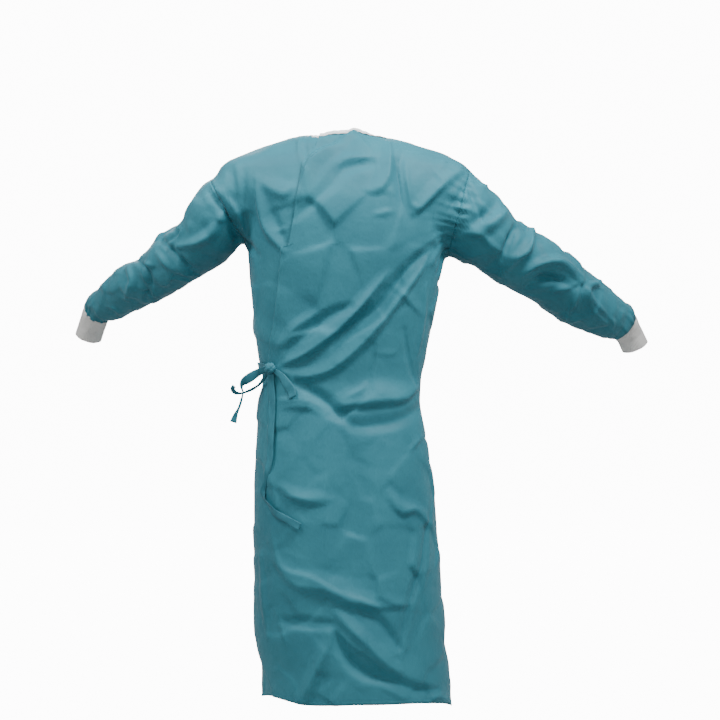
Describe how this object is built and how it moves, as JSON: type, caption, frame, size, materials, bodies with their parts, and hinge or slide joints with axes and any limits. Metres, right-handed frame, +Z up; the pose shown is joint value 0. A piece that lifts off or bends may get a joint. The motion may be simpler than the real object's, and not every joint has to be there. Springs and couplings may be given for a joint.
{
  "type": "surgical gown",
  "caption": "Long-sleeved surgical gown, worn with the arms held out: overlapping back tied at the left, white neck binding and knitted cuffs, hollow for a wearer.",
  "frame": {"origin": "middle of the neck opening at the height where the shoulders meet the neck, where the wearer's shoulders carry the gown", "axes": "+Z up through the neck, the gown's front faces -Y, +X to the wearer's left"},
  "size_m": [1.3534, 0.4953, 1.2704],
  "materials": {
    "gown_cloth": "crisp teal nonwoven with a slight sheen",
    "tie_cloth": "strips of the same teal nonwoven",
    "binding": "white stitched tape",
    "knit_cuff": "white ribbed knit"
  },
  "bodies": {
    "root": {"front_panel": "gown_cloth", "back_left_panel": "gown_cloth", "back_right_panel": "gown_cloth", "sleeve_left": "gown_cloth", "sleeve_right": "gown_cloth", "cuff_left": "knit_cuff", "cuff_right": "knit_cuff", "neck_binding": "binding", "tie_knot": "tie_cloth", "tie_bow": "tie_cloth", "tie_curl": "tie_cloth", "tie_tail_long": "tie_cloth", "tie_short_end": "tie_cloth", "tie_strap_front": "tie_cloth"}
  },
  "joints": []
}
